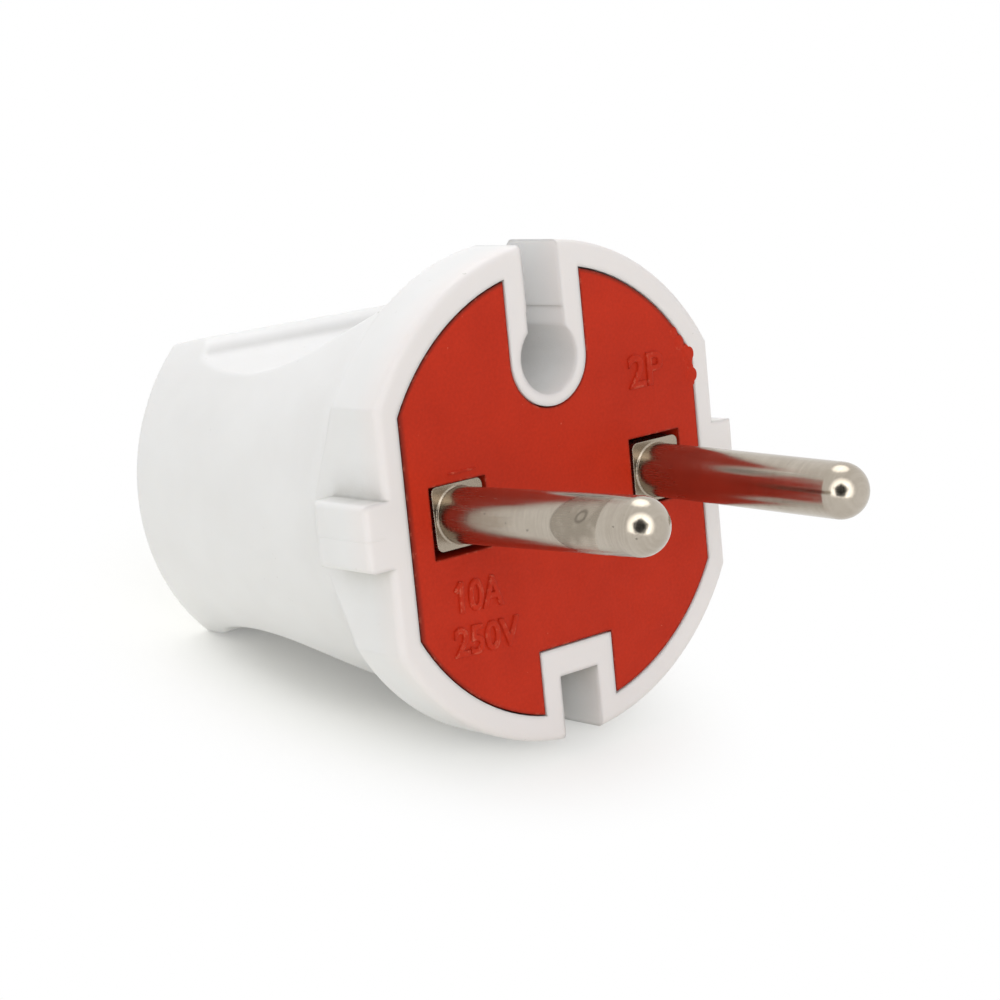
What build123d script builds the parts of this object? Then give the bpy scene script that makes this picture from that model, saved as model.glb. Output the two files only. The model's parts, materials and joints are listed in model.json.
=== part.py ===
from build123d import *
import os
from math import acos, atan2, cos, degrees, radians, sin, sqrt, tan

# Two-pin round plug without an earth contact. Every piece is made in the plug's own frame, then the
# whole plug is laid down as it rests on a table: on the flange and on the rear edge of its body.
# Plug frame: X to the right seen from the front, Y from the front face to the rear, Z up.
# The origin is the middle of the front face. Lengths are in millimetres, angles in degrees.

# Housing: flange, guide tabs and round body
flange_radius = 18.0
flange_depth = 5.1
flat_half_width = 15.85
tab_half_width = 17.7
tab_height = 4.7
tab_depth = 5.9
tab_round = 0.4
body_radius = 15.7
body_length = 31.7
cove_radius = 6.0
wall = 1.8
rear_wall = 2.2
edge_round = 0.5

# Housing: finger scoop above the body, with a wide collar that rises to the scoop
upper_scoop_radius = 17.5
upper_scoop_middle = 21.0
upper_scoop_floor = 9.8
upper_wall_run = 1.75
upper_collar_width = 3.3
upper_collar_rise = 0.5

# Housing: finger scoop below the body, longer and with a narrow flat collar
lower_scoop_radius = 18.5
lower_scoop_middle = 23.0
lower_scoop_floor = 10.0
lower_wall_run = 2.8
lower_collar_width = 1.3
lower_collar_rise = 0.0

# Housing: height of both collars and rounding at the foot of their walls
collar_height = 11.42
scoop_foot_round = 0.5

# Housing: front opening, keyhole slot above and notch below
rim_width = 1.86
flat_rim_width = 1.71
keyhole_height = 9.77
keyhole_radius = 2.65
keyhole_depth = 10.0
keyhole_wall = 0.85
slot_half_width = 1.7
slot_depth = 7.0
slot_step = 0.07
slot_step_rise = 3.4
notch_half_width = 1.82
notch_top = -13.2
notch_depth = 7.0
notch_side_wall = 1.6
notch_top_wall = 2.1

# Housing: cord inlet in the rear wall
inlet_radius = 4.0
inlet_chamfer = 0.6

# Pin carrier: face plate, pin towers, snap barbs and cord tongue
face_recess = 0.05
seat_depth = 3.6
carrier_gap = 0.12
pin_spacing = 19.0
tower_wall = 1.0
tower_gap = 0.2
window_wall = 1.1
barb_height = 3.2
barb_reach = 0.6
barb_front = 1.2
barb_land = 0.4
barb_rear = 3.2
barb_gap = 0.15
tongue_thickness = 2.0
tongue_margin = 0.3
tongue_gap = 0.9
tongue_round = 2.0
neck_half_width = 5.3
neck_overlap = 3.0
tongue_end = 27.0
post_radius = 2.6

# Pins: round plug end and square shank
pin_radius = 2.0
pin_reach = 20.0
pin_root_chamfer = 0.1
shank_side = 4.55
shank_round = 0.5
shank_gap = 0.05
shank_overhang = 1.6
left_lean = 2.1
right_lean = -1.0
wire_hole_radius = 1.4
wire_hole_overrun = 0.4

# Terminal screws in the shanks
terminal_depth = 8.6
terminal_thread_radius = 1.45
terminal_thread_length = 2.9
terminal_head_radius = 2.2
terminal_head_height = 1.5
terminal_head_lift = 0.6
terminal_window_gap = 0.5

# Driver slots, edges and thread clearance of every screw
screw_slot_width = 0.7
screw_slot_depth = 0.7
screw_edge_chamfer = 0.3
thread_gap = 0.05

# Cord clamp strap and its two screws
clamp_depth = 22.0
clamp_width = 5.5
clamp_thickness = 1.8
clamp_arch_radius = 4.2
clamp_thread_radius = 1.4
clamp_thread_length = 5.8
clamp_head_radius = 2.5
clamp_head_height = 1.7
clamp_head_gap = 0.3
clamp_hole_gap = 0.2

# Sizes that follow from the ones above
cove_drop = flange_radius - body_radius
body_start = flange_depth + sqrt(2 * cove_radius * cove_drop - cove_drop**2)
cove_turn = acos(1 - cove_drop / cove_radius)
room_radius = body_radius - wall
room_end = body_length - rear_wall
opening_radius = flange_radius - rim_width
opening_half_width = flat_half_width - flat_rim_width
keyhole_wall_radius = keyhole_radius + keyhole_wall
slot_step_height = keyhole_height + slot_step_rise
notch_wall_half_width = notch_half_width + notch_side_wall
notch_wall_top = notch_top + notch_top_wall
pin_half_spacing = pin_spacing / 2
window_radius = terminal_head_radius + terminal_window_gap
tower_end = terminal_depth + window_radius + window_wall
pocket_middle = (face_recess + tower_end) / 2
largest_lean = max(abs(left_lean), abs(right_lean))
lean_room = (tower_end - pocket_middle) * sin(radians(largest_lean))
pocket_side = shank_side + 2 * (lean_room + shank_gap)
tower_side = pocket_side + 2 * tower_wall
shank_end = tower_end + shank_overhang
clamp_outer_radius = clamp_arch_radius + clamp_thickness
clamp_half_spacing = clamp_outer_radius + clamp_head_gap + clamp_head_radius
clamp_start = clamp_depth - clamp_width / 2
tongue_half_width = clamp_half_spacing + post_radius + tongue_margin
tongue_top = -inlet_radius - tongue_gap
tongue_bottom = tongue_top - tongue_thickness
tongue_start = clamp_start - neck_overlap
beyond = 2 * flange_radius


def prism(outline, start, end):
    """Front-view outline carried from one depth to another."""
    return extrude(Plane.XZ.offset(-start) * outline, amount=start - end)


def column(x, y, outline, bottom, top):
    """Top-view outline set at a place and carried from one height to another."""
    return extrude(Pos(x, y, bottom) * outline, amount=top - bottom)


def slot_above(half_width, bottom):
    """Front-view outline of a straight slot running up past the rim."""
    return Pos(0, bottom + flange_radius / 2) * Rectangle(2 * half_width, flange_radius)


def keyhole_block(gap):
    """Front-view outline of the wall round the keyhole, grown by a gap."""
    radius = keyhole_wall_radius + gap
    return Pos(0, keyhole_height) * Circle(radius) + slot_above(radius, keyhole_height)


def notch(half_width, top):
    """Front-view outline of a square notch running down past the rim."""
    return Pos(0, top - flange_radius / 2) * Rectangle(2 * half_width, flange_radius)


def front_opening(gap):
    """Front-view outline of the housing's opening, drawn in by a gap on every side."""
    disc = Circle(opening_radius - gap)
    disc &= Rectangle(2 * (opening_half_width - gap), beyond)
    disc -= keyhole_block(gap)
    disc -= notch(notch_wall_half_width + gap, notch_wall_top + gap)
    return disc


def pin_square(length, side):
    """Front-view square centred on the left or the right pin."""
    return Pos(side * pin_half_spacing, 0) * Rectangle(length, length)


def turned_body():
    """Flange, cove and round body as one turned form, both edges of the flange rounded."""
    front = Polyline((0, body_length), (0, 0), (flange_radius, 0), (flange_radius, flange_depth))
    cove = RadiusArc((flange_radius, flange_depth), (body_radius, body_start), cove_radius)
    rear = Polyline((body_radius, body_start), (body_radius, body_length), (0, body_length))
    profile = make_face(front + cove + rear)
    flange_corners = profile.vertices().filter_by(lambda v: v.X > flange_radius - edge_round)
    return revolve(fillet(flange_corners, edge_round), Axis.Y)


def finger_scoop(radius, middle, floor, wall_run, collar_width, collar_rise):
    """Space above a finger scoop and its rear collar, seen from the side and carried across."""
    wall_top = body_length - collar_width
    slope = collar_rise / collar_width
    foot = wall_top - wall_run
    foot_height = floor + radius - sqrt(radius**2 - (foot - middle) ** 2)
    flange_top = flange_radius + edge_round
    front = middle - sqrt(radius**2 - (floor + radius - flange_top) ** 2)
    back = body_length + collar_width
    collar_end = (back, collar_height - slope * collar_width)
    collar_start = (wall_top, collar_height + collar_rise)
    collar = Polyline((front, flange_top), (front, beyond), (back, beyond), collar_end, collar_start)
    rounded_wall = TangentArc(collar_start, (foot, foot_height), tangent=(-1, slope))
    hollow = ThreePointArc((foot, foot_height), (middle, floor), (front, flange_top))
    side = make_face(collar + rounded_wall + hollow)
    foot_corner = side.vertices().sort_by_distance(Vector(foot, foot_height))[0]
    side = fillet(foot_corner, scoop_foot_round)
    return extrude(Plane.YZ * side, amount=beyond, both=True)


def scooped_body():
    """Turned body with its two flats and finger scoops, the scoop and rear edges rounded."""
    slab = Pos(0, body_length / 2, 0) * Box(2 * flat_half_width, body_length, beyond)
    front_edges = slab.edges().filter_by(Axis.Z).group_by(Axis.Y)[0]
    blank = turned_body() & fillet(front_edges, edge_round)
    upper = finger_scoop(
        upper_scoop_radius,
        upper_scoop_middle,
        upper_scoop_floor,
        upper_wall_run,
        upper_collar_width,
        upper_collar_rise,
    )
    lower = finger_scoop(
        lower_scoop_radius,
        lower_scoop_middle,
        lower_scoop_floor,
        lower_wall_run,
        lower_collar_width,
        lower_collar_rise,
    )
    lower = mirror(lower, about=Plane.XY)
    body = blank - upper - lower
    scoop_edges = new_edges(blank, upper, lower, combined=body)
    side_edges = scoop_edges.filter_by(lambda e: e.bounding_box().max.Y > body_start + edge_round)
    rear_edges = body.edges().group_by(Axis.Y)[-1].filter_by(GeomType.CIRCLE)
    return fillet(side_edges + rear_edges, edge_round)


def scoop_ceiling(side, radius, middle, floor):
    """Roller over the scoop's floor, one wall larger, that the hollow behind stays clear of."""
    return Pos(0, middle, side * (floor + radius)) * Rot(Y=90) * Cylinder(radius + wall, beyond)


def guide_tabs():
    """Bar across the flange whose two ends stand out of the flats as guide tabs."""
    bar = Pos(0, tab_depth / 2, 0) * Box(2 * tab_half_width, tab_depth, tab_height)
    ends = bar.edges().filter_by(lambda e: abs(e.center().X) > tab_half_width - tab_round)
    return fillet(ends, tab_round)


def wire_room():
    """Hollow behind the carrier, kept one wall inside the scoops, the keyhole and the notch."""
    room = prism(Circle(room_radius), seat_depth, room_end)
    room -= prism(keyhole_block(0), 0, keyhole_depth + wall)
    room -= prism(notch(notch_wall_half_width, notch_wall_top), 0, notch_depth + wall)
    room -= scoop_ceiling(1, upper_scoop_radius, upper_scoop_middle, upper_scoop_floor)
    room -= scoop_ceiling(-1, lower_scoop_radius, lower_scoop_middle, lower_scoop_floor)
    for side in (1, -1):
        room += prism(pin_square(tower_side + 2 * tower_gap, side), seat_depth, tower_end + tower_gap)
    return room


def snap_barb(side, gap):
    """Wedge on the carrier's flat side, or with a gap the pocket that takes it."""
    root = opening_half_width - carrier_gap
    tip = root + barb_reach + gap
    front = barb_front - gap
    rear = barb_rear + gap
    land_end = barb_front + barb_land + gap
    wedge = make_face(
        Polyline((0, front), (tip, front), (tip, land_end), (root + gap, rear), (0, rear), (0, front))
    )
    barb = extrude(wedge, amount=barb_height / 2 + gap, both=True)
    return barb if side > 0 else mirror(barb, about=Plane.YZ)


def make_housing():
    """Moulded shell: flange with tabs, scooped body, keyhole, notch, carrier seat and cord inlet."""
    shell = scooped_body() + guide_tabs()
    shell -= prism(front_opening(0), 0, seat_depth)
    shell -= wire_room()
    shell -= prism(Pos(0, keyhole_height) * Circle(keyhole_radius), 0, keyhole_depth)
    upper_slot = slot_above(slot_half_width, keyhole_height)
    lower_slot = slot_above(slot_half_width + slot_step, keyhole_height)
    lower_slot &= Rectangle(beyond, 2 * slot_step_height)
    shell -= prism(upper_slot + lower_slot, 0, slot_depth)
    shell -= prism(notch(notch_half_width, notch_top), 0, notch_depth)
    for side in (1, -1):
        shell -= snap_barb(side, barb_gap)
    shell -= prism(Circle(inlet_radius), room_end, body_length)
    mouth = shell.edges().filter_by(GeomType.CIRCLE).group_by(Axis.Y)[-1].sort_by(SortBy.RADIUS)[0]
    return chamfer(mouth, inlet_chamfer)


def make_carrier():
    """Face plate with pin towers and barbs, and the tongue that carries the cord clamp."""
    carrier = prism(front_opening(carrier_gap), face_recess, seat_depth)
    neck_length = tongue_start - seat_depth + neck_overlap
    neck = Pos(0, seat_depth + neck_length / 2) * Rectangle(2 * neck_half_width, neck_length)
    pad_length = tongue_end - tongue_start
    pad = Rectangle(2 * tongue_half_width, pad_length)
    pad = Pos(0, tongue_start + pad_length / 2) * fillet(pad.vertices(), tongue_round)
    carrier += column(0, 0, neck + pad, tongue_bottom, tongue_top)
    for side in (1, -1):
        carrier += prism(pin_square(tower_side, side), seat_depth, tower_end)
        carrier += snap_barb(side, 0)
        carrier += column(side * clamp_half_spacing, clamp_depth, Circle(post_radius), tongue_top, 0)
    pilot_depth = clamp_thread_length - clamp_thickness + thread_gap
    for side in (1, -1):
        carrier -= prism(pin_square(pocket_side, side), face_recess, tower_end)
        x = side * pin_half_spacing
        carrier -= column(x, terminal_depth, Circle(window_radius), 0, tower_side)
        x = side * clamp_half_spacing
        carrier -= column(x, clamp_depth, Circle(clamp_thread_radius + thread_gap), -pilot_depth, 0)
    return carrier


def make_pin():
    """Round pin with a domed tip on a square shank that takes the wire from behind."""
    shank_face = fillet(Rectangle(shank_side, shank_side).vertices(), shank_round)
    pin = prism(shank_face, face_recess, shank_end)
    pin += prism(Circle(pin_radius), pin_radius - pin_reach, face_recess)
    root = pin.edges().filter_by(GeomType.CIRCLE).filter_by(lambda e: e.radius == pin_radius)
    pin = chamfer(root.group_by(Axis.Y)[-1], pin_root_chamfer)
    pin += Pos(0, pin_radius - pin_reach, 0) * Sphere(pin_radius)
    wire_hole_end = terminal_depth - terminal_thread_radius - wire_hole_overrun
    pin -= prism(Circle(wire_hole_radius), wire_hole_end, shank_end)
    pin -= column(0, terminal_depth, Circle(terminal_thread_radius + thread_gap), 0, shank_side)
    return pin


def make_screw(head_radius, head_height, thread_radius, thread_length):
    """Slotted screw standing on Z, with the underside of its head at zero."""
    head = column(0, 0, Circle(head_radius), 0, head_height)
    head = chamfer(head.edges().group_by(Axis.Z)[-1], screw_edge_chamfer)
    shaft = column(0, 0, Circle(thread_radius), -thread_length, 0)
    shaft = chamfer(shaft.edges().group_by(Axis.Z)[0], screw_edge_chamfer)
    driver_slot = Rectangle(beyond, screw_slot_width)
    return head + shaft - column(0, 0, driver_slot, head_height - screw_slot_depth, beyond)


def make_clamp():
    """Strap with an arch over the cord and a rounded ear on each post."""
    ears = Rectangle(2 * clamp_half_spacing + clamp_width, 2 * clamp_thickness)
    front_view = ears + Circle(clamp_outer_radius) - Circle(clamp_arch_radius)
    front_view &= Pos(0, beyond / 2) * Rectangle(beyond, beyond)
    strap = prism(front_view, clamp_start, clamp_start + clamp_width)
    strap &= column(0, clamp_depth, SlotCenterToCenter(2 * clamp_half_spacing, clamp_width), 0, beyond)
    for side in (1, -1):
        hole = Circle(clamp_thread_radius + clamp_hole_gap)
        strap -= column(side * clamp_half_spacing, clamp_depth, hole, 0, beyond)
    return strap


def in_pocket(piece, side, lean):
    """A pin or its terminal screw, tipped about the middle of its pocket and set on its side."""
    tipped = Pos(0, pocket_middle, 0) * Rot(X=-lean) * Pos(0, -pocket_middle, 0)
    return Pos(side * pin_half_spacing, 0, 0) * tipped * piece


def rest_lean():
    """Angle at which the plug lies on the rounded flange beside the notch and on its rounded rear edge."""
    flange_drop = sqrt(flange_radius**2 - notch_half_width**2) - edge_round
    flange_back = flange_depth - edge_round * tan(cove_turn / 2)
    collar_slope = lower_collar_rise / lower_collar_width
    collar_angle = atan2(lower_collar_rise, lower_collar_width)
    rear_drop = collar_height + edge_round * collar_slope - edge_round / cos(collar_angle)
    rear_back = body_length - edge_round
    return degrees(atan2(flange_drop - rear_drop, rear_back - flange_back))


pieces = {"housing": make_housing(), "pin_carrier": make_carrier(), "cord_clamp": make_clamp()}
for name, side, lean in (("left", -1, left_lean), ("right", 1, right_lean)):
    pieces[f"{name}_pin"] = in_pocket(make_pin(), side, lean)
    terminal_screw = make_screw(
        terminal_head_radius, terminal_head_height, terminal_thread_radius, terminal_thread_length
    )
    terminal_screw = Pos(0, terminal_depth, shank_side / 2 + terminal_head_lift) * terminal_screw
    pieces[f"{name}_terminal_screw"] = in_pocket(terminal_screw, side, lean)
    clamp_screw = make_screw(clamp_head_radius, clamp_head_height, clamp_thread_radius, clamp_thread_length)
    pieces[f"{name}_clamp_screw"] = Pos(side * clamp_half_spacing, clamp_depth, clamp_thickness) * clamp_screw

laid_down = {name: Rot(X=-rest_lean()) * piece for name, piece in pieces.items()}
box = Compound(list(laid_down.values())).bounding_box()
on_table = Pos(0, -box.center().Y, -box.min.Z)
os.makedirs("parts", exist_ok=True)
for name, piece in laid_down.items():
    export_step(on_table * piece, f"parts/{name}.step")
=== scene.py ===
import json
from math import radians
from typing import NamedTuple

import bpy
from mathutils import Matrix, Vector


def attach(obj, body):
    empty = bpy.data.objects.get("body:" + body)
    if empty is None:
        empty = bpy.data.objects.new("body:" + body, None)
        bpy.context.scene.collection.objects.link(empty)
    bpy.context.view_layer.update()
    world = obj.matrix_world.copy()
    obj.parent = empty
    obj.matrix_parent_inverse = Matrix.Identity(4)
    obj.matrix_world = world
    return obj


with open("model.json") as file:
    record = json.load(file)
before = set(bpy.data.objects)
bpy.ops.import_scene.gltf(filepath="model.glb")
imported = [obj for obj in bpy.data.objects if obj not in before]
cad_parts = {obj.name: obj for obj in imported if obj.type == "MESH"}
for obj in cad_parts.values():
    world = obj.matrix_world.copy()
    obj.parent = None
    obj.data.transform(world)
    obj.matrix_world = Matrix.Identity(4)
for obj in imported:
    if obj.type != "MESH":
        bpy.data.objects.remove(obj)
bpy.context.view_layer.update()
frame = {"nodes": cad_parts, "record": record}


class Pattern(NamedTuple):
    """Noise on a finish: waves per metre, detail, the range taken, what it becomes, roughness."""

    waves: float
    detail: float
    taken: tuple
    given: tuple
    roughness: float = 0.5


class Relief(NamedTuple):
    """Noise that lifts a surface: waves per metre, detail, depth in millimetres, roughness."""

    waves: float
    detail: float
    depth: float
    roughness: float = 0.5


# Lengths below are millimetres in the plug's own frame: X right, Y rearwards from the face, Z up
MM = 0.001

# Camera: where it stands, the point on the face that it looks at, its roll in degrees, its lens,
# its sensor, and the distance from which it sees
CAMERA_PLACE = (-117.68, -133.91, 32.32)
CAMERA_AIM = (-5.79, 0.0, 0.54)
CAMERA_ROLL = 3.75
CAMERA_LENS = 91.2
CAMERA_SENSOR = 36.0
CAMERA_NEAR = 10.0

# Raised ratings on the insert: name, text, middle, width and height, turn in degrees
RATINGS = (
    ("pole_mark", "2P", (9.25, 7.4), (3.5, 2.45), 0.0),
    ("current_mark", "10A", (-8.35, -5.6), (4.05, 2.3), -2.5),
    ("voltage_mark", "250V", (-8.2, -8.75), (6.0, 2.15), -2.5),
)

# Their letters: how high they stand before their edges round off, the radius and the steps of
# that rounding, and the distance under which two points are merged
MARK_RELIEF = 0.10
MARK_ROUND = 0.06
MARK_ROUND_STEPS = 2
MERGE_DISTANCE = 0.001

# Raised strokes beside them: name, middle, length and width, turn in degrees, relief
STROKES = (
    ("raised_dash", (-9.0, 3.2), (2.5, 0.14), 0.0, 0.10),
    ("current_mark_flag", (-10.36, -4.78), (0.85, 0.36), 49.0, 0.13),
)
STROKE_ROUND = 0.05
STROKE_ROUND_STEPS = 3

# Flash of red plastic over the rim at the insert's upper right corner: middles and half sizes of
# its lumps, their half thickness, how deep their middles lie, and how finely they are divided
FLASH_LUMPS = (
    ((12.42, 9.62), (0.45, 0.50)),
    ((12.90, 8.80), (0.55, 0.65)),
    ((13.74, 7.85), (0.82, 0.82)),
    ((13.85, 7.10), (0.30, 0.40)),
    ((13.92, 6.27), (0.80, 0.84)),
)
FLASH_HALF_THICKNESS = 0.20
FLASH_SINK = 0.10
FLASH_LUMP_DETAIL = 4

# How the lumps are melted together: the grid, the ripple's height and size, and the smoothing
FLASH_GRID = 0.03
FLASH_RIPPLE = 0.03
FLASH_RIPPLE_SIZE = 1.0
FLASH_SMOOTHING = 0.5
FLASH_SMOOTHING_ROUNDS = 14

# Angle in degrees up to which neighbouring faces on the pieces above are shaded as one
SMOOTH_ANGLE = 35

# Soft edges and sheltered corners: the rays that find them, the cosines of a rounded normal's
# turn between which an edge sets in, and the open shares between which a corner sets in
FINDER_RAYS = 6
EDGE_RANGE = (0.99, 0.80)
CORNER_RANGE = (0.92, 0.40)

# Sockets at which the Mix node takes two colours and gives one
MIX_COLOURS = (6, 7)
MIX_RESULT = 2

# White moulded plastic: tones, specks, painted shade in corners, milky depth, gloss and relief
WHITE_TONES = ((0.815, 0.81, 0.806), (0.845, 0.842, 0.841))
WHITE_BLOTCHES = Pattern(140.0, 3.0, (0.35, 0.65), (0.0, 1.0))
WHITE_SPECKS = Pattern(1700.0, 2.0, (0.75, 0.79), (0.0, 0.4))
SPECK_COLOUR = (0.42, 0.40, 0.36)
CORNER_SHADE_MOTTLE = Pattern(900.0, 3.0, (0.3, 0.6), (0.7, 1.0))
CORNER_SHADE_REACH = 3.0
CORNER_SHADE_COLOUR = (0.53, 0.52, 0.48)
MILKINESS = 0.2
MILKY_SPREAD = (1.0, 0.9, 0.8)
MILKY_DEPTH = 0.6
WHITE_GLOSS = Pattern(420.0, 4.0, (0.3, 0.7), (0.36, 0.47))
WHITE_EDGE_ROUND = 0.55
WHITE_RIPPLE = Relief(260.0, 2.0, 0.03)
WHITE_GRAIN = Relief(5200.0, 3.0, 0.006, 0.6)

# Red light that the white rim takes on from the insert: its colour there, its share at the face
# and how deep it reaches
GLOW_COLOUR = (0.872, 0.814, 0.798)
GLOW_SHARE = 0.7
GLOW_DEPTH = 2.6

# Parting line across the guide tabs: its height on them, where it starts outwards and over what
# length it sets in, its half width and its relief
PARTING_HEIGHT = -0.12
PARTING_START = 16.1
PARTING_FADE = 0.1
PARTING_HALF_WIDTH = 0.06
PARTING_RELIEF = 0.02

# Red moulded plastic: tones, specks, nicks that are rubbed pale, gloss and relief
RED_TONES = ((0.462, 0.019, 0.002), (0.588, 0.028, 0.005))
RED_MOTTLE = Pattern(210.0, 4.0, (0.3, 0.7), (0.0, 0.5))
RED_FLECKS = Pattern(4200.0, 2.0, (0.3, 0.7), (0.0, 0.5))
RED_SPECKS = Pattern(2600.0, 1.0, (0.77, 0.82), (0.0, 0.5))
RED_NICKS = Pattern(1500.0, 4.0, (0.54, 0.60), (0.0, 1.0), 0.7)
RUBBED_COLOUR = (0.74, 0.20, 0.12)
RED_SPECULAR = 0.16
RED_GLOSS = Pattern(700.0, 4.0, (0.3, 0.7), (0.46, 0.58))
RED_EDGE_ROUND = 0.18
RED_WORN_WIDTH = 0.45
RED_RIPPLE = Relief(420.0, 2.0, 0.02)
RED_GRAIN = Relief(4600.0, 3.0, 0.013, 0.6)

# Shares of painted shade and of rubbing on the insert, and on what is raised from it
INSERT_SHADE_AND_WEAR = {"painted_shade": 1.0, "rubbing": 0.4}
RAISED_SHADE_AND_WEAR = {"painted_shade": 0.1, "rubbing": 0.75}

# Painted shade on the red plastic's edges: its colour, and where it sets in and how strong it is
PAINTED_SHADE_COLOUR = (0.10, 0.010, 0.005)
EDGE_SHADE_RANGE = (0.55, 0.95)
EDGE_SHADE_SHARE = 0.6

# Painted shadow along the insert's left and upper edges: the insert's outline, the shadow's widths
# and share, and the range of height less distance to the right over which it sets in
INSERT_HALF_WIDTH = 14.02
INSERT_RADIUS = 16.02
FLAT_SHADOW_WIDTH = 0.5
ARC_SHADOW_WIDTH = 0.3
GAP_SHADOW_SHARE = 0.9
GAP_SHADOW_RANGE = (-12.0, 4.0)

# Nickel plate: lines drawn out around and along the pins, tones, pits, gloss and relief
AROUND_STRETCH = (0.05, 1.0, 0.05)
ALONG_STRETCH = (1.0, 0.04, 1.0)
NICKEL_TONES = ((0.40, 0.352, 0.288), (0.515, 0.465, 0.395))
NICKEL_BLOTCHES = Pattern(420.0, 5.0, (0.3, 0.7), (0.0, 0.6), 0.6)
NICKEL_STREAKS = Pattern(3800.0, 4.0, (0.35, 0.65), (0.0, 0.4), 0.7)
NICKEL_PITS = Pattern(2300.0, 2.0, (0.73, 0.78), (0.0, 0.6))
PIT_COLOUR = (0.12, 0.10, 0.08)
NICKEL_GLOSS = Pattern(5200.0, 4.0, (0.3, 0.75), (0.14, 0.26), 0.7)
NICKEL_EDGE_ROUND = 0.08
TURNED_LINES = Relief(5200.0, 4.0, 0.0045, 0.7)
DRAWN_LINES = Relief(7000.0, 3.0, 0.0014, 0.6)
NICKEL_WAVES = Relief(900.0, 2.0, 0.003)
NICKEL_GRAIN = Relief(9000.0, 2.0, 0.0014, 0.6)

# Pins darker and duller towards the root: where it starts, where it is full, its share, its colour
# and its dulling
ROOT_DARKENING_START = -9.0
ROOT_DARKENING_FULL = -1.0
ROOT_DARKENING_SHARE = 0.65
ROOT_DARK_COLOUR = (0.345, 0.286, 0.219)
ROOT_DULLING = 0.10

# Dull patch on the left pin's outer side: an oval cut off by a slanting end, with a dark rim. The
# oval's fade and its rim are counted in half sizes
PATCH_INNER_SIDE = -9.8
PATCH_SIDE_FADE = 0.3
PATCH_MIDDLE = (-15.5, 0.9)
PATCH_HALF_SIZE = (3.85, 2.2)
PATCH_FADE = (0.97, 1.02)
PATCH_END = -15.78
PATCH_END_FADE = 0.06
PATCH_SLANT = 0.22
PATCH_RIM = 0.045
PATCH_RIM_SHARE = 0.6

# Film on the patch: its pale and stained colours, its share and dulling, and how its stain spreads
FILM_TONES = ((0.50, 0.44, 0.362), (0.29, 0.249, 0.198))
FILM_SHARE = 0.9
FILM_DULLING = 0.09
STAIN_LEAN = 0.6
STAIN_RANGE = (-1.5, 1.2)
STAIN_MOTTLE = Pattern(800.0, 3.0, (0.35, 0.65), (-0.35, 0.35))

# Small dark ring on the patch, a slanting oval: its fade is counted in half sizes from its line
RING_MIDDLE = (-14.5, 1.6)
RING_HALF_SIZE = (0.45, 0.30)
RING_SLANT = 0.35
RING_FADE = (0.10, 0.45)
RING_SHARE = 0.8
RING_COLOUR = (0.17, 0.145, 0.115)

# Zinc plate: tones, gloss and pits
ZINC_TONES = ((0.56, 0.57, 0.59), (0.68, 0.69, 0.70))
ZINC_BLOTCHES = Pattern(600.0, 4.0, (0.3, 0.7), (0.0, 1.0))
ZINC_GLOSS = Pattern(2500.0, 3.0, (0.3, 0.7), (0.25, 0.42))
ZINC_EDGE_ROUND = 0.1
ZINC_PITS = Relief(5000.0, 3.0, 0.006)

# Studio: the world's light on the plug, the floor's width in metres and its colour
WORLD_LIGHT = 0.64
FLOOR_SIZE = 3.0
FLOOR_COLOUR = (0.95, 0.95, 0.905)

# Oval on the floor that keeps the shadow, in millimetres of the model's frame: its middle and half
# size, the shares of it between which the floor turns white, and how white it is before and after
SHADOW_MIDDLE = (-0.9, 11.1)
SHADOW_HALF_SIZE = (22.5, 33.8)
SHADOW_FADE = (0.35, 1.05)
FLOOR_WHITENING = (0.16, 1.0)

# Softboxes, in metres of the model's frame and watts
TOP_SOFTBOX = {"place": (0.03, 0.28, 0.40), "size": 0.5, "power": 1.12}
FRONT_SOFTBOX = {"place": (-0.24, -0.40, 0.25), "size": 0.36, "power": 0.62}

# Cards that only gloss shows, in metres: two at a share of the way to the camera, and one overhead.
# The fade is the stretch, from the middle out, over which the first brightness turns to the second
HOOD_SHARE = 0.88
LENS_HOOD = {"corners": 5, "radius": 0.088, "fade": (0.052, 0.080), "brightness": (0.03, 0.45)}
TENT_SHARE = 0.92
TENT_FRONT = {"corners": 64, "radius": 0.32, "fade": (0.10, 0.21), "brightness": (3.2, 0.92)}
OVERHEAD_PLACE = (0.13, 0.15, 0.40)
OVERHEAD = {"corners": 64, "radius": 0.17, "fade": (0.0, 0.17), "brightness": (3.4, 2.4)}


def plug_frame():
    """Matrix from the plug's own frame to the model's frame, read from the front face's mount."""
    face = next(m for m in frame["record"]["mounts"] if m["name"] == "front_face")
    across = Vector((1, 0, 0))
    rearward = -Vector(face["axis"])
    upward = across.cross(rearward)
    matrix = Matrix((across, rearward, upward)).transposed().to_4x4()
    matrix.translation = Vector(face["pos_m"])
    return matrix


PLUG = plug_frame()


def plug_point(x, y, z):
    """A point of the plug's frame in millimetres, as a point of the model in metres."""
    return PLUG @ (Vector((x, y, z)) * MM)


def in_metres(*lengths):
    """The same lengths, given in millimetres, one by one in metres."""
    return (millimetres * MM for millimetres in lengths)


# Shader building blocks


def add_node(tree, kind, settings=None, **inputs):
    """New shader node with its settings and its plain input values."""
    node = tree.nodes.new(kind)
    for name, value in (settings or {}).items():
        setattr(node, name, value)
    for name, value in inputs.items():
        node.inputs[name.replace("_", " ")].default_value = value
    return node


def start_material(name):
    """New node material: its tree, its shader and its coordinates in the plug's own frame."""
    material = bpy.data.materials.new(name)
    material.use_nodes = True
    tree = material.node_tree
    shader = tree.nodes["Principled BSDF"]
    coordinates = add_node(tree, "ShaderNodeTexCoord")
    turned = add_node(tree, "ShaderNodeMapping", {"vector_type": "TEXTURE"})
    turned.inputs["Location"].default_value = PLUG.translation
    turned.inputs["Rotation"].default_value = PLUG.to_euler()
    tree.links.new(coordinates.outputs["Object"], turned.inputs["Vector"])
    return material, tree, shader, turned.outputs["Vector"]


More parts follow.
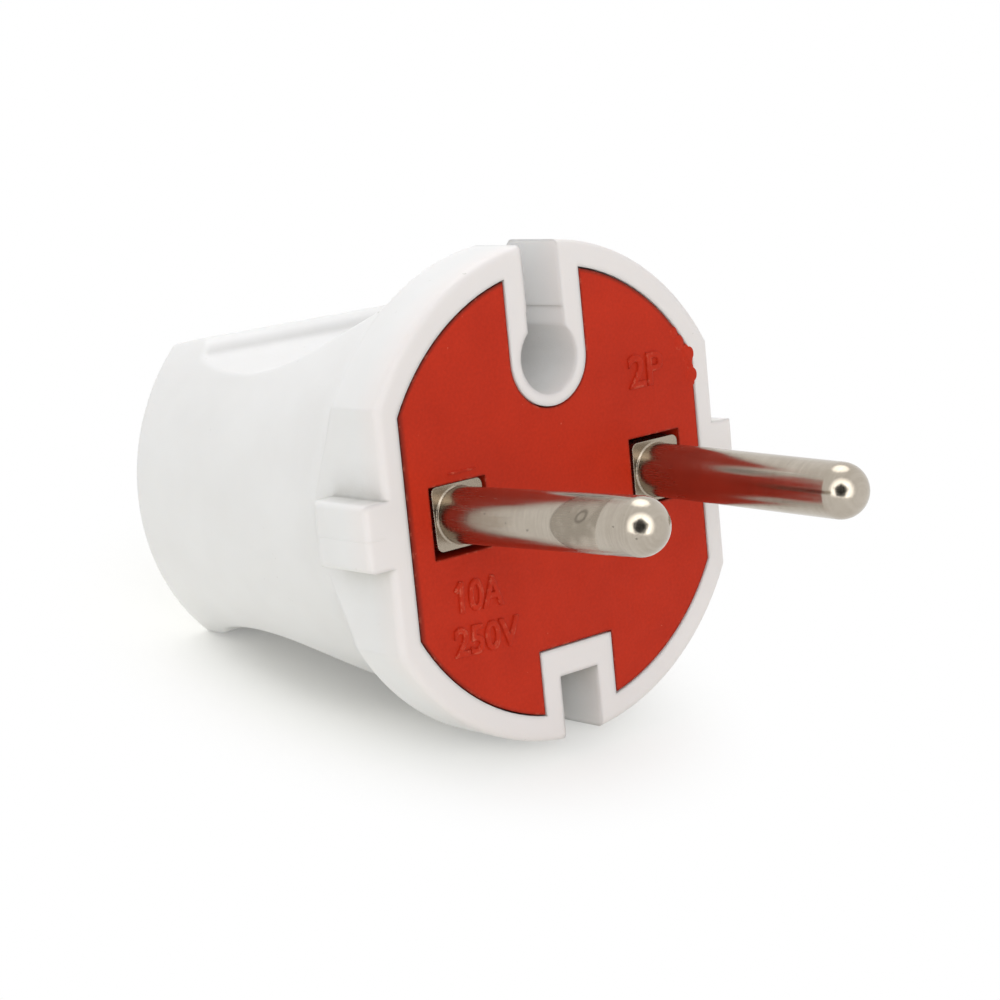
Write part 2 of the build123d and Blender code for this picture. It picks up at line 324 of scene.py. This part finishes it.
def link_finish(tree, shader, colour, roughness, normal):
    """Links what makes up a finish to its shader."""
    for name, value in (("Base Color", colour), ("Roughness", roughness), ("Normal", normal)):
        tree.links.new(value, shader.inputs[name])


def noise(tree, vector, form):
    """Noise value over the given coordinates, in the form of a pattern or a relief."""
    node = add_node(
        tree, "ShaderNodeTexNoise", Scale=form.waves, Detail=form.detail, Roughness=form.roughness
    )
    tree.links.new(vector, node.inputs["Vector"])
    return node.outputs["Fac"]


def stretched(tree, vector, scale):
    """Coordinates scaled by a share of their own along each axis."""
    node = add_node(tree, "ShaderNodeMapping", Scale=scale)
    tree.links.new(vector, node.inputs["Vector"])
    return node.outputs["Vector"]


def ramp(tree, value, start, end, low, high, course="LINEAR"):
    """Value carried from one range to another and held at its ends."""
    node = add_node(tree, "ShaderNodeMapRange", {"clamp": True, "interpolation_type": course})
    ends = {"From Min": start, "From Max": end, "To Min": low, "To Max": high}
    for name, number in ends.items():
        node.inputs[name].default_value = number
    tree.links.new(value, node.inputs["Value"])
    return node.outputs["Result"]


def pattern(tree, vector, form):
    """Noise over the given coordinates, carried to the range that its form gives."""
    return ramp(tree, noise(tree, vector, form), *form.taken, *form.given)


def set_socket(tree, socket, value):
    """Gives a socket its value, a plain one or the output of another node."""
    if isinstance(value, bpy.types.NodeSocket):
        tree.links.new(value, socket)
    else:
        socket.default_value = value


def blend_colours(tree, share, first, second):
    """Mix of two colours, each a plain colour or the output of another node."""
    node = add_node(tree, "ShaderNodeMix", {"data_type": "RGBA"})
    tree.links.new(share, node.inputs["Factor"])
    for index, colour in zip(MIX_COLOURS, (first, second)):
        opaque = (*colour, 1.0) if isinstance(colour, tuple) else colour
        set_socket(tree, node.inputs[index], opaque)
    return node.outputs[MIX_RESULT]


def combine(tree, operation, first, second):
    """Sum, product or other combination of two values, each a number or a node's output."""
    node = add_node(tree, "ShaderNodeMath", {"operation": operation})
    for socket, value in zip(node.inputs, (first, second)):
        set_socket(tree, socket, value)
    return node.outputs["Value"]


def distance(tree, value, middle):
    """How far a value is from a middle, to either side."""
    return combine(tree, "ABSOLUTE", combine(tree, "SUBTRACT", value, middle), 0.0)


def axes(tree, vector):
    """The three coordinates of a vector as single values."""
    node = add_node(tree, "ShaderNodeSeparateXYZ")
    tree.links.new(vector, node.inputs["Vector"])
    return node.outputs["X"], node.outputs["Y"], node.outputs["Z"]


def length(tree, vector):
    """Length of a vector."""
    node = add_node(tree, "ShaderNodeVectorMath", {"operation": "LENGTH"})
    tree.links.new(vector, node.inputs[0])
    return node.outputs["Value"]


def oval(tree, along, across, middle, half_size):
    """How far a place is from the middle of an oval given in millimetres, 1 at its edge."""
    place = add_node(tree, "ShaderNodeCombineXYZ")
    for socket, value, centre, half in zip(place.inputs, (along, across), middle, half_size):
        offset = combine(tree, "SUBTRACT", value, centre * MM)
        tree.links.new(combine(tree, "DIVIDE", offset, half * MM), socket)
    return length(tree, place.outputs["Vector"])


def soft_edges(tree, radius):
    """Normal that rounds off sharp edges by a small radius."""
    node = add_node(tree, "ShaderNodeBevel", {"samples": FINDER_RAYS}, Radius=radius * MM)
    return node.outputs["Normal"]


def edge_share(tree, rounded):
    """1 on sharp edges and 0 on plain faces, from how far a rounded normal turns there."""
    surface = add_node(tree, "ShaderNodeNewGeometry")
    turn = add_node(tree, "ShaderNodeVectorMath", {"operation": "DOT_PRODUCT"})
    tree.links.new(rounded, turn.inputs[0])
    tree.links.new(surface.outputs["Normal"], turn.inputs[1])
    return ramp(tree, turn.outputs["Value"], *EDGE_RANGE, 0.0, 1.0)


def inner_corners(tree, reach):
    """0 in the open and up to 1 deep in corners and holes, as far as the reach in millimetres."""
    settings = {"samples": FINDER_RAYS, "only_local": True}
    shelter = add_node(tree, "ShaderNodeAmbientOcclusion", settings, Distance=reach * MM)
    return ramp(tree, shelter.outputs["AO"], *CORNER_RANGE, 0.0, 1.0)


def bump(tree, height, depth, normal):
    """Normal bumped by a height from 0 to 1 that stands for a depth in millimetres."""
    node = add_node(tree, "ShaderNodeBump", Strength=1.0, Distance=depth * MM)
    tree.links.new(height, node.inputs["Height"])
    tree.links.new(normal, node.inputs["Normal"])
    return node.outputs["Normal"]


def lift(tree, vector, form, normal):
    """Normal bumped by a relief over the given coordinates."""
    return bump(tree, noise(tree, vector, form), form.depth, normal)


# Finishes of the plug's pieces


def moulded_white():
    """White moulded plastic: satin, blotched and grained, with painted red light near the insert,
    specked, and with painted shade in its corners.
    """
    material, tree, shader, vector = start_material("moulded_white")
    plastic = blend_colours(tree, pattern(tree, vector, WHITE_BLOTCHES), *WHITE_TONES)
    _, y, _ = axes(tree, vector)
    # Painted red light: the white turns pinker towards the face, as if lit by the red insert
    glow = ramp(tree, y, 0.0, GLOW_DEPTH * MM, GLOW_SHARE, 0.0)
    glowing = blend_colours(tree, glow, plastic, GLOW_COLOUR)
    specked = blend_colours(tree, pattern(tree, vector, WHITE_SPECKS), glowing, SPECK_COLOUR)
    # Painted shade: corners and holes darkened towards a grey, broken up by a mottle
    film = pattern(tree, vector, CORNER_SHADE_MOTTLE)
    corner_shade = combine(tree, "MULTIPLY", film, inner_corners(tree, CORNER_SHADE_REACH))
    corner_shaded = blend_colours(tree, corner_shade, specked, CORNER_SHADE_COLOUR)
    shader.inputs["Subsurface Weight"].default_value = MILKINESS
    shader.inputs["Subsurface Radius"].default_value = MILKY_SPREAD
    shader.inputs["Subsurface Scale"].default_value = MILKY_DEPTH * MM
    gloss = pattern(tree, vector, WHITE_GLOSS)
    rounded = soft_edges(tree, WHITE_EDGE_ROUND)
    ripple = lift(tree, vector, WHITE_RIPPLE, rounded)
    grain = lift(tree, vector, WHITE_GRAIN, ripple)
    line = bump(tree, parting_line(tree, vector), PARTING_RELIEF, grain)
    link_finish(tree, shader, corner_shaded, gloss, line)
    return material


def parting_line(tree, vector):
    """Height of the fine seam that the mould's halves leave across the guide tabs."""
    x, _, z = axes(tree, vector)
    start = in_metres(PARTING_START, PARTING_START + PARTING_FADE)
    on_tab = ramp(tree, distance(tree, x, 0.0), *start, 0.0, 1.0)
    from_line = distance(tree, z, PARTING_HEIGHT * MM)
    seam = ramp(tree, from_line, 0.0, PARTING_HALF_WIDTH * MM, 1.0, 0.0)
    return combine(tree, "MULTIPLY", seam, on_tab)


def moulded_red(name, painted_shade, rubbing):
    """Red moulded plastic: satin, mottled and grained, its edges darkened by painted shade and
    rubbed, each by a share.
    """
    material, tree, shader, vector = start_material(name)
    rounded = soft_edges(tree, RED_EDGE_ROUND)
    mottle = pattern(tree, vector, RED_MOTTLE)
    flecks = pattern(tree, vector, RED_FLECKS)
    plastic = blend_colours(tree, combine(tree, "ADD", mottle, flecks), *RED_TONES)
    edges = edge_share(tree, soft_edges(tree, RED_WORN_WIDTH))
    # Painted shade: the red darkened along its edges, joined by the painted shadow beside the rim
    edge_shade = ramp(tree, edges, *EDGE_SHADE_RANGE, 0.0, EDGE_SHADE_SHARE)
    edge_and_gap_shade = combine(tree, "MAXIMUM", edge_shade, gap_shadow(tree, vector))
    shaded_red = blend_colours(tree, combine(tree, "MULTIPLY", edge_and_gap_shade, painted_shade), plastic, PAINTED_SHADE_COLOUR)
    nicks = combine(tree, "MULTIPLY", pattern(tree, vector, RED_NICKS), rubbing)
    specks = pattern(tree, vector, RED_SPECKS)
    rubbed = combine(tree, "MAXIMUM", specks, combine(tree, "MULTIPLY", nicks, edges))
    worn = blend_colours(tree, rubbed, shaded_red, RUBBED_COLOUR)
    shader.inputs["Specular IOR Level"].default_value = RED_SPECULAR
    gloss = pattern(tree, vector, RED_GLOSS)
    ripple = lift(tree, vector, RED_RIPPLE, rounded)
    grain = lift(tree, vector, RED_GRAIN, ripple)
    link_finish(tree, shader, worn, gloss, grain)
    return material


def gap_shadow(tree, vector):
    """Share of the painted shadow along the insert's left and upper edges, which fades inwards."""
    x, _, z = axes(tree, vector)
    from_flat = combine(tree, "ADD", x, INSERT_HALF_WIDTH * MM)
    reach = oval(tree, x, z, (0.0, 0.0), (INSERT_RADIUS, INSERT_RADIUS))
    from_arc = ramp(tree, reach, 0.0, 1.0, INSERT_RADIUS * MM, 0.0)
    on_flat = ramp(tree, from_flat, 0.0, FLAT_SHADOW_WIDTH * MM, GAP_SHADOW_SHARE, 0.0)
    on_arc = ramp(tree, from_arc, 0.0, ARC_SHADOW_WIDTH * MM, GAP_SHADOW_SHARE, 0.0)
    to_upper_left = combine(tree, "SUBTRACT", z, x)
    side = ramp(tree, to_upper_left, *in_metres(*GAP_SHADOW_RANGE), 0.0, 1.0)
    return combine(tree, "MULTIPLY", combine(tree, "MAXIMUM", on_flat, on_arc), side)


def nickel_plate():
    """Bright nickel plate: fine lines, pits, uneven gloss, darker and duller towards the root, one
    dull patch.
    """
    material, tree, shader, vector = start_material("nickel_plate")
    shader.inputs["Metallic"].default_value = 1.0
    around = stretched(tree, vector, AROUND_STRETCH)
    along = stretched(tree, vector, ALONG_STRETCH)
    blotches = pattern(tree, vector, NICKEL_BLOTCHES)
    streaks = pattern(tree, around, NICKEL_STREAKS)
    plate = blend_colours(tree, combine(tree, "ADD", blotches, streaks), *NICKEL_TONES)
    _, y, _ = axes(tree, vector)
    # Darker and duller towards the root of each pin
    root = ramp(tree, y, *in_metres(ROOT_DARKENING_START, ROOT_DARKENING_FULL), 0.0, ROOT_DARKENING_SHARE)
    darker_at_root = blend_colours(tree, root, plate, ROOT_DARK_COLOUR)
    patch, stain, ring = dull_patch(tree, vector)
    stained = combine(tree, "ADD", stain, pattern(tree, vector, STAIN_MOTTLE))
    film = blend_colours(tree, stained, *FILM_TONES)
    dulled = blend_colours(tree, combine(tree, "MULTIPLY", patch, FILM_SHARE), darker_at_root, film)
    ringed = blend_colours(tree, combine(tree, "MULTIPLY", ring, RING_SHARE), dulled, RING_COLOUR)
    pitted = blend_colours(tree, pattern(tree, vector, NICKEL_PITS), ringed, PIT_COLOUR)
    gloss = pattern(tree, along, NICKEL_GLOSS)
    film_gloss = combine(tree, "ADD", gloss, combine(tree, "MULTIPLY", patch, FILM_DULLING))
    root_gloss = combine(tree, "ADD", film_gloss, combine(tree, "MULTIPLY", root, ROOT_DULLING))
    rounded = soft_edges(tree, NICKEL_EDGE_ROUND)
    turned = lift(tree, around, TURNED_LINES, rounded)
    drawn = lift(tree, along, DRAWN_LINES, turned)
    waves = lift(tree, vector, NICKEL_WAVES, drawn)
    grain = lift(tree, vector, NICKEL_GRAIN, waves)
    link_finish(tree, shader, pitted, root_gloss, grain)
    return material


def dull_patch(tree, vector):
    """Shares of the left pin's dull patch, of its stain, and of its dark rim and small ring."""
    x, y, z = axes(tree, vector)
    inner_side = in_metres(PATCH_INNER_SIDE, PATCH_INNER_SIDE - PATCH_SIDE_FADE)
    outer_side = ramp(tree, x, *inner_side, 0.0, 1.0)
    reach = oval(tree, y, z, PATCH_MIDDLE, PATCH_HALF_SIZE)
    within = ramp(tree, reach, *PATCH_FADE, 1.0, 0.0)
    slanted = combine(tree, "ADD", y, combine(tree, "MULTIPLY", z, PATCH_SLANT))
    end = in_metres(PATCH_END - PATCH_END_FADE, PATCH_END + PATCH_END_FADE)
    before_end = ramp(tree, slanted, *end, 0.0, 1.0)
    patch = combine(tree, "MULTIPLY", combine(tree, "MULTIPLY", outer_side, within), before_end)
    on_rim = ramp(tree, distance(tree, reach, 1.0), 0.0, PATCH_RIM, PATCH_RIM_SHARE, 0.0)
    rim = combine(tree, "MULTIPLY", on_rim, before_end)
    from_ring = combine(tree, "SUBTRACT", y, RING_MIDDLE[0] * MM)
    stained = combine(tree, "ADD", z, combine(tree, "MULTIPLY", from_ring, STAIN_LEAN))
    stain = ramp(tree, stained, *in_metres(*STAIN_RANGE), 0.0, 1.0)
    leaning = combine(tree, "ADD", z, combine(tree, "MULTIPLY", from_ring, RING_SLANT))
    ring_reach = oval(tree, y, leaning, RING_MIDDLE, RING_HALF_SIZE)
    ring = ramp(tree, distance(tree, ring_reach, 1.0), *RING_FADE, 1.0, 0.0)
    dark = combine(tree, "MAXIMUM", ring, rim)
    return patch, stain, combine(tree, "MULTIPLY", dark, outer_side)


def zinc_plate():
    """Bright zinc plate on the screws: cooler, duller and finely pitted."""
    material, tree, shader, vector = start_material("zinc_plate")
    shader.inputs["Metallic"].default_value = 1.0
    colour = blend_colours(tree, pattern(tree, vector, ZINC_BLOTCHES), *ZINC_TONES)
    gloss = pattern(tree, vector, ZINC_GLOSS)
    pits = lift(tree, vector, ZINC_PITS, soft_edges(tree, ZINC_EDGE_ROUND))
    link_finish(tree, shader, colour, gloss, pits)
    return material


def dress(material, *nodes):
    """The finish of one or more of the CAD pieces."""
    for name in nodes:
        slots = frame["nodes"][name].data.materials
        slots.clear()
        slots.append(material)


# Pieces on the insert's face


def deselect():
    """Nothing is selected and nothing is active."""
    bpy.ops.object.select_all(action="DESELECT")
    bpy.context.view_layer.objects.active = None


def settle(piece, name, material):
    """Puts a piece modelled on the face into the model, its place in its mesh, and lets it ride."""
    piece.matrix_world = PLUG @ piece.matrix_world
    bpy.ops.object.transform_apply(location=True, rotation=True, scale=True)
    piece.name = name
    piece.data.name = name
    piece.data.materials.clear()
    piece.data.materials.append(material)
    bpy.ops.object.shade_smooth_by_angle(angle=radians(SMOOTH_ANGLE))
    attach(piece, "root")


def face_place(middle, turn):
    """Matrix that stands a flat piece, modelled in XY, on the face with its front to the pins."""
    x, z = middle
    upright = Matrix.Rotation(radians(90), 4, "X")
    turned = Matrix.Rotation(radians(turn), 4, "Z")
    return Matrix.Translation(Vector((x, 0, z)) * MM) @ upright @ turned


def raised_mark(name, text, middle, size, turn, material):
    """Rating in raised letters, their edges rounded, its rear half sunk into the face."""
    deselect()
    bpy.ops.object.text_add()
    mark = bpy.context.object
    width, height = in_metres(*size)
    mark.data.body = text
    mark.data.align_x = "CENTER"
    mark.data.align_y = "CENTER"
    mark.data.size = height
    mark.data.extrude = MARK_RELIEF * MM
    mark.data.bevel_depth = MARK_ROUND * MM
    mark.data.bevel_resolution = MARK_ROUND_STEPS
    bpy.ops.object.convert(target="MESH")
    mark = bpy.context.object
    xs = [vertex.co.x for vertex in mark.data.vertices]
    ys = [vertex.co.y for vertex in mark.data.vertices]
    centred = Matrix.Translation((-(min(xs) + max(xs)) / 2, -(min(ys) + max(ys)) / 2, 0))
    fitted = Matrix.Diagonal((width / (max(xs) - min(xs)), height / (max(ys) - min(ys)), 1, 1))
    mark.data.transform(fitted @ centred)
    bpy.ops.object.mode_set(mode="EDIT")
    bpy.ops.mesh.select_all(action="SELECT")
    bpy.ops.mesh.remove_doubles(threshold=MERGE_DISTANCE * MM)
    bpy.ops.mesh.normals_make_consistent(inside=False)
    bpy.ops.object.mode_set(mode="OBJECT")
    mark.matrix_world = face_place(middle, turn)
    settle(mark, name, material)


def raised_stroke(name, middle, size, turn, relief, material):
    """Straight raised stroke with rounded edges, half of it sunk into the face."""
    deselect()
    bpy.ops.mesh.primitive_cube_add(size=1.0)
    stroke = bpy.context.object
    stroke.scale = Vector((*size, 2 * relief)) * MM
    bpy.ops.object.transform_apply(location=False, rotation=False, scale=True)
    bpy.ops.object.mode_set(mode="EDIT")
    bpy.ops.mesh.select_all(action="SELECT")
    bpy.ops.mesh.bevel(offset=STROKE_ROUND * MM, segments=STROKE_ROUND_STEPS, affect="EDGES")
    bpy.ops.object.mode_set(mode="OBJECT")
    stroke.matrix_world = face_place(middle, turn)
    settle(stroke, name, material)


def edge_flash(material):
    """Lumps of flash that were squeezed over the rim, melted into one."""
    deselect()
    lumps = []
    for (x, z), (half_width, half_height) in FLASH_LUMPS:
        bpy.ops.mesh.primitive_ico_sphere_add(subdivisions=FLASH_LUMP_DETAIL, radius=1.0)
        lump = bpy.context.object
        lump.scale = Vector((half_width, FLASH_HALF_THICKNESS, half_height)) * MM
        lump.location = Vector((x, FLASH_SINK, z)) * MM
        lumps.append(lump)
    for lump in lumps:
        lump.select_set(True)
    bpy.ops.object.transform_apply(location=True, rotation=True, scale=True)
    bpy.ops.object.join()
    flash = bpy.context.object
    remesh = flash.modifiers.new("melt", "REMESH")
    remesh.mode = "VOXEL"
    remesh.voxel_size = FLASH_GRID * MM
    bpy.ops.object.modifier_apply(modifier=remesh.name)
    ripple = bpy.data.textures.new("flash_ripple", "CLOUDS")
    ripple.noise_scale = FLASH_RIPPLE_SIZE * MM
    swell = flash.modifiers.new("swell", "DISPLACE")
    swell.texture = ripple
    swell.strength = FLASH_RIPPLE * MM
    bpy.ops.object.modifier_apply(modifier=swell.name)
    soften = flash.modifiers.new("soften", "SMOOTH")
    soften.factor = FLASH_SMOOTHING
    soften.iterations = FLASH_SMOOTHING_ROUNDS
    bpy.ops.object.modifier_apply(modifier=soften.name)
    settle(flash, "edge_flash", material)


# Studio


def see_rays(tree):
    """1 for rays that see the background: from the camera, off gloss or through glass."""
    path = add_node(tree, "ShaderNodeLightPath")
    seen = combine(tree, "MAXIMUM", path.outputs["Is Camera Ray"], path.outputs["Is Glossy Ray"])
    return combine(tree, "MAXIMUM", seen, path.outputs["Is Transmission Ray"])


def white_world():
    """White to look at, and a plain even light on the object."""
    world = bpy.data.worlds.new("studio")
    bpy.context.scene.world = world
    world.use_nodes = True
    tree = world.node_tree
    strength = ramp(tree, see_rays(tree), 0.0, 1.0, WORLD_LIGHT, 1.0)
    tree.links.new(strength, tree.nodes["Background"].inputs["Strength"])
    tree.nodes["Background"].inputs["Color"].default_value = (1, 1, 1, 1)


def pale_floor():
    """Pale floor that keeps the shadow near the plug and turns white further out."""
    deselect()
    bpy.ops.mesh.primitive_plane_add(size=FLOOR_SIZE)
    floor = bpy.context.object
    floor.name = "floor"
    material = bpy.data.materials.new("pale_floor")
    material.use_nodes = True
    tree = material.node_tree
    shader = tree.nodes["Principled BSDF"]
    shader.inputs["Base Color"].default_value = (*FLOOR_COLOUR, 1)
    shader.inputs["Roughness"].default_value = 1.0
    shader.inputs["Specular IOR Level"].default_value = 0.0
    x, y, _ = axes(tree, add_node(tree, "ShaderNodeTexCoord").outputs["Object"])
    reach = oval(tree, x, y, SHADOW_MIDDLE, SHADOW_HALF_SIZE)
    far = ramp(tree, reach, *SHADOW_FADE, *FLOOR_WHITENING, "SMOOTHSTEP")
    white = add_node(tree, "ShaderNodeEmission", Strength=1.0)
    mix = add_node(tree, "ShaderNodeMixShader")
    share, near_plug, further_out = mix.inputs
    tree.links.new(combine(tree, "MULTIPLY", far, see_rays(tree)), share)
    tree.links.new(shader.outputs["BSDF"], near_plug)
    tree.links.new(white.outputs["Emission"], further_out)
    tree.links.new(mix.outputs["Shader"], tree.nodes["Material Output"].inputs["Surface"])
    floor.data.materials.append(material)


def softbox(name, place, size, power):
    """Square area lamp aimed at the middle of the plug's face, hidden from gloss."""
    aim = plug_point(0, 0, 0)
    lamp = bpy.data.lights.new(name, "AREA")
    lamp.shape = "SQUARE"
    lamp.size = size
    lamp.energy = power
    stand = bpy.data.objects.new(name, lamp)
    stand.location = place
    stand.rotation_euler = (aim - Vector(place)).to_track_quat("-Z", "Y").to_euler()
    stand.visible_glossy = False
    bpy.context.scene.collection.objects.link(stand)


def towards_lens(share):
    """Point at a share of the way from the aim on the plug's face to the camera."""
    return plug_point(*CAMERA_AIM).lerp(plug_point(*CAMERA_PLACE), share)


def gloss_card(name, place, corners, radius, fade, brightness):
    """Card that faces the plug, brighter or darker from its middle out, and shows only in gloss."""
    deselect()
    bpy.ops.mesh.primitive_circle_add(vertices=corners, radius=radius, fill_type="NGON")
    card = bpy.context.object
    card.name = name
    card.location = place
    from_plug = Vector(place) - plug_point(*CAMERA_AIM)
    card.rotation_euler = from_plug.to_track_quat("-Z", "Y").to_euler()
    material = bpy.data.materials.new(name)
    material.use_nodes = True
    tree = material.node_tree
    reach = length(tree, add_node(tree, "ShaderNodeTexCoord").outputs["Object"])
    glow = add_node(tree, "ShaderNodeEmission")
    tree.links.new(ramp(tree, reach, *fade, *brightness), glow.inputs["Strength"])
    tree.links.new(glow.outputs["Emission"], tree.nodes["Material Output"].inputs["Surface"])
    card.data.materials.append(material)
    card.visible_camera = False
    card.visible_diffuse = False
    card.visible_transmission = False
    card.visible_volume_scatter = False
    card.visible_shadow = False


def photo_camera():
    """Camera at the photograph's place, looking at the face, with its slight roll."""
    camera = bpy.data.cameras.new("camera")
    camera.sensor_width = CAMERA_SENSOR
    camera.lens = CAMERA_LENS
    camera.clip_start = CAMERA_NEAR * MM
    stand = bpy.data.objects.new("camera", camera)
    stand.location = plug_point(*CAMERA_PLACE)
    aim = plug_point(*CAMERA_AIM) - stand.location
    roll = Matrix.Rotation(radians(CAMERA_ROLL), 4, "Z")
    turn = aim.to_track_quat("-Z", "Y").to_matrix().to_4x4()
    stand.matrix_world = Matrix.Translation(stand.location) @ turn @ roll
    bpy.context.scene.collection.objects.link(stand)
    bpy.context.scene.camera = stand


insert_red = moulded_red("moulded_red", **INSERT_SHADE_AND_WEAR)
raised_red = moulded_red("raised_red", **RAISED_SHADE_AND_WEAR)
dress(moulded_white(), "housing")
dress(insert_red, "pin_carrier", "cord_clamp")
dress(nickel_plate(), "left_pin", "right_pin")
dress(
    zinc_plate(),
    "left_terminal_screw",
    "right_terminal_screw",
    "left_clamp_screw",
    "right_clamp_screw",
)

for rating in RATINGS:
    raised_mark(*rating, raised_red)
for stroke in STROKES:
    raised_stroke(*stroke, raised_red)
edge_flash(raised_red)

white_world()
pale_floor()
softbox("top_softbox", **TOP_SOFTBOX)
softbox("front_softbox", **FRONT_SOFTBOX)
gloss_card("lens_hood", towards_lens(HOOD_SHARE), **LENS_HOOD)
gloss_card("tent_front", towards_lens(TENT_SHARE), **TENT_FRONT)
gloss_card("overhead", OVERHEAD_PLACE, **OVERHEAD)
photo_camera()
bpy.context.scene.view_settings.view_transform = "Standard"
